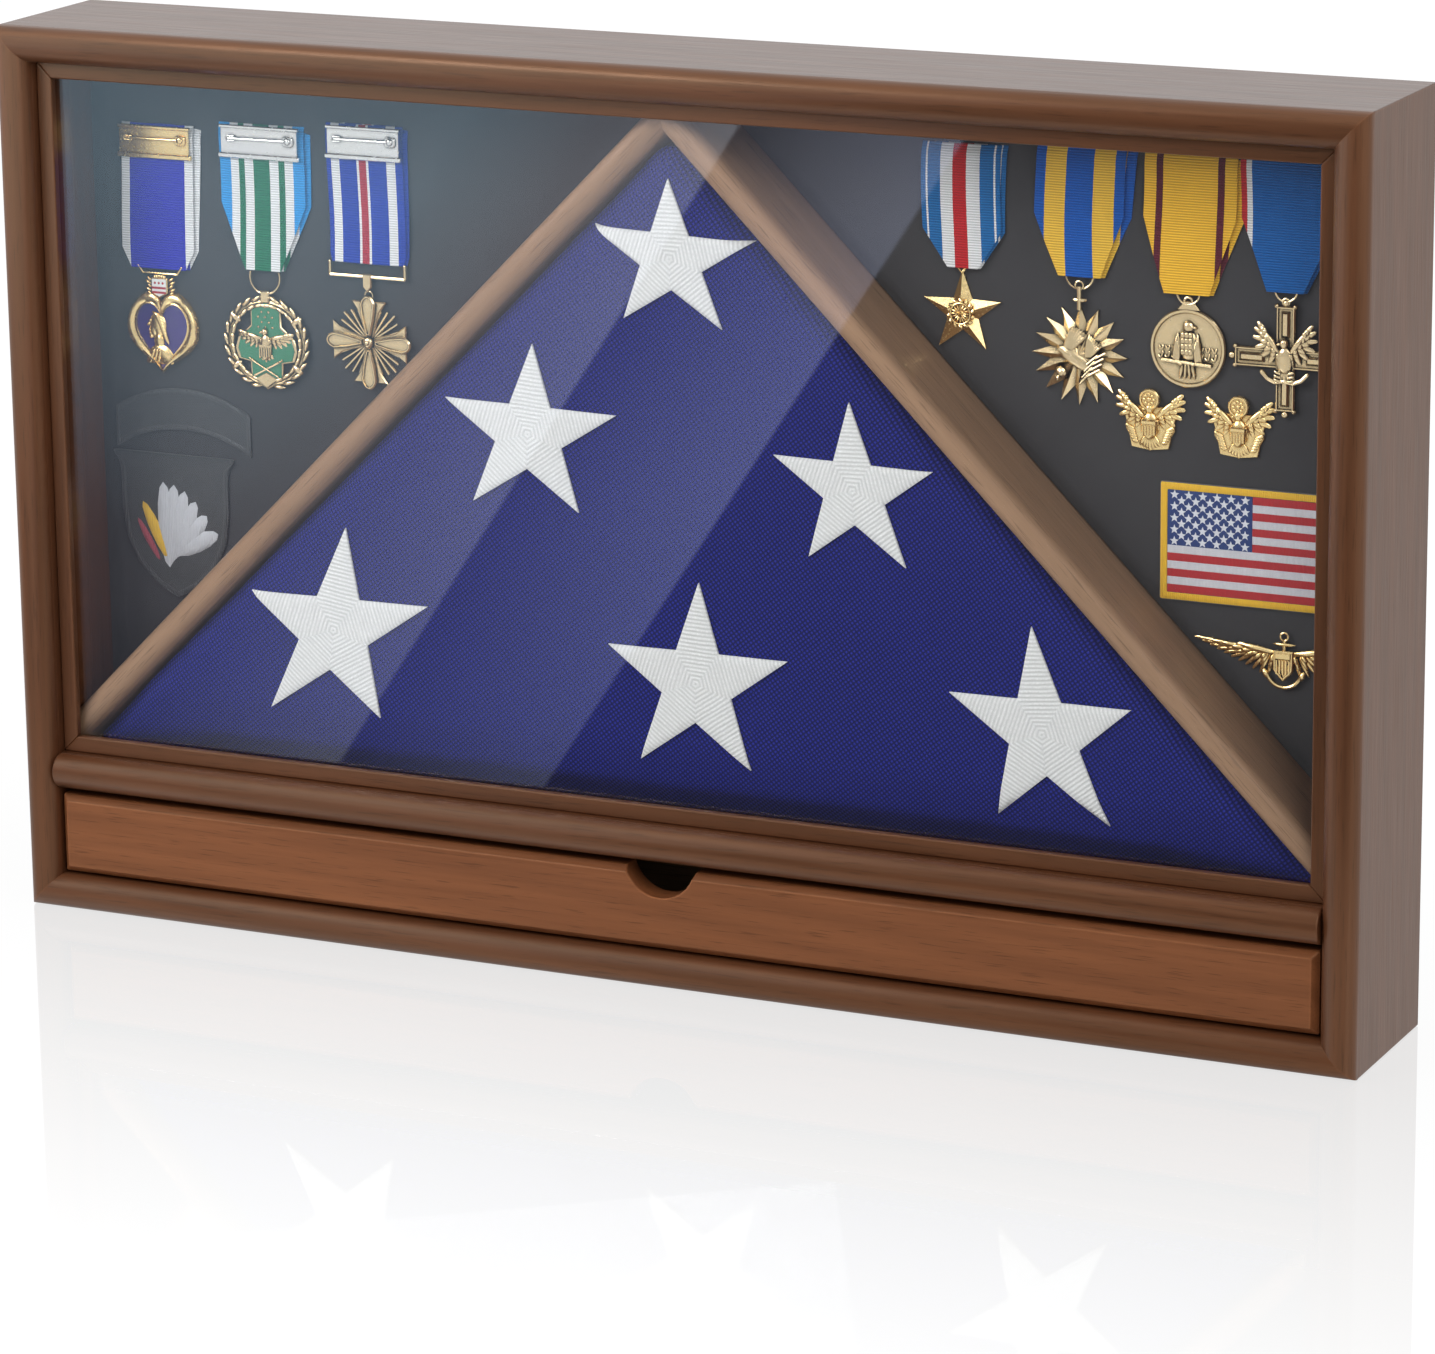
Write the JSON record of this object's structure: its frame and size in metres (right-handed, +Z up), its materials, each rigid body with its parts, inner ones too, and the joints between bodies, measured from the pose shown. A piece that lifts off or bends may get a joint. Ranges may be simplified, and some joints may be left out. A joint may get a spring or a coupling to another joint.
{
  "type": "folded flag display case",
  "caption": "Wooden table-top display case with a glazed front for a folded flag between sloping slats, medals on felt in the upper corners, a drawer below and a hinged back door.",
  "frame": {"origin": "middle of the case's footprint, on the surface it stands on, midway between the front and back edges of the boards", "axes": "+X to the viewer's right across the case, +Y from front to back, +Z up"},
  "size_m": [0.64, 0.0902, 0.406],
  "materials": {
    "walnut": "satin dark walnut stain",
    "drawer_face": "satin red-brown stain, worn bevels",
    "drawer_box": "bare wood",
    "back_board": "stained plywood",
    "pin_board": "soft fibreboard",
    "glass": "clear",
    "felt": "matte felt",
    "flag_cloth": "woven cotton",
    "hinge_brass": "satin",
    "gold": "polished",
    "bronze": "darkened in the hollows",
    "heart_ribbon": "ribbed silk",
    "wreath_ribbon": "ribbed silk",
    "propeller_ribbon": "ribbed silk",
    "star_ribbon": "ribbed silk",
    "sunburst_ribbon": "ribbed silk",
    "disc_ribbon": "ribbed silk",
    "cross_ribbon": "ribbed silk",
    "dark_patch": "embroidered",
    "flag_patch": "embroidered"
  },
  "bodies": {
    "case": {"top_board": "walnut", "bottom_board": "walnut", "left_side_board": "walnut", "right_side_board": "walnut", "shelf": "walnut", "top_bead": "walnut", "bottom_bead": "walnut", "left_bead": "walnut", "right_bead": "walnut", "middle_bead": "walnut", "top_lip": "walnut", "left_lip": "walnut", "right_lip": "walnut", "bottom_lip": "walnut", "glass_stops": "walnut", "left_slat": "walnut", "right_slat": "walnut", "glass_pane": "glass", "left_pin_board": "pin_board", "right_pin_board": "pin_board", "left_felt": "felt", "right_felt": "felt", "drawer_back_panel": "back_board", "folded_flag": "flag_cloth", "case_hinge_leaves": "hinge_brass", "hinge_pins": "hinge_brass", "case_hinge_screws": "hinge_brass", "turn_button_screws": "hinge_brass", "heart_ribbon": "heart_ribbon", "wreath_ribbon": "wreath_ribbon", "propeller_ribbon": "propeller_ribbon", "star_ribbon": "star_ribbon", "sunburst_ribbon": "sunburst_ribbon", "disc_ribbon": "disc_ribbon", "cross_ribbon": "cross_ribbon", "heart_pendant": "gold", "star_pendant": "gold", "collar_pins": "gold", "wings_pin": "gold", "brooch_bars": "gold", "wreath_pendant": "bronze", "propeller_pendant": "bronze", "sunburst_pendant": "bronze", "disc_pendant": "bronze", "cross_pendant": "bronze", "tab_patch": "dark_patch", "shield_patch": "dark_patch", "flag_patch": "flag_patch"},
    "drawer": {"drawer_front": "drawer_face", "drawer_left_side": "drawer_box", "drawer_right_side": "drawer_box", "drawer_back": "drawer_box", "drawer_bottom": "drawer_box", "drawer_liner": "felt"},
    "back_door": {"door_panel": "back_board", "door_hinge_leaves": "hinge_brass", "door_hinge_screws": "hinge_brass"},
    "upper_button": {"upper_turn_button": "hinge_brass"},
    "lower_button": {"lower_turn_button": "hinge_brass"}
  },
  "joints": [
    {"name": "drawer_slide", "type": "slide", "parent": "case", "child": "drawer", "axis": [0, -1, 0], "range_m": [0, 0.045]},
    {"name": "door_hinge", "type": "hinge", "parent": "case", "child": "back_door", "pos_m": [0.3115, 0.04075, 0.22025], "axis": [0, 0, -1], "range_deg": [0, 170]},
    {"name": "upper_button_pivot", "type": "hinge", "parent": "case", "child": "upper_button", "pos_m": [-0.316, 0.0403, 0.3355], "axis": [0, -1, 0], "range_deg": [0, 90]},
    {"name": "lower_button_pivot", "type": "hinge", "parent": "case", "child": "lower_button", "pos_m": [-0.316, 0.0403, 0.105], "axis": [0, -1, 0], "range_deg": [0, 90]}
  ]
}
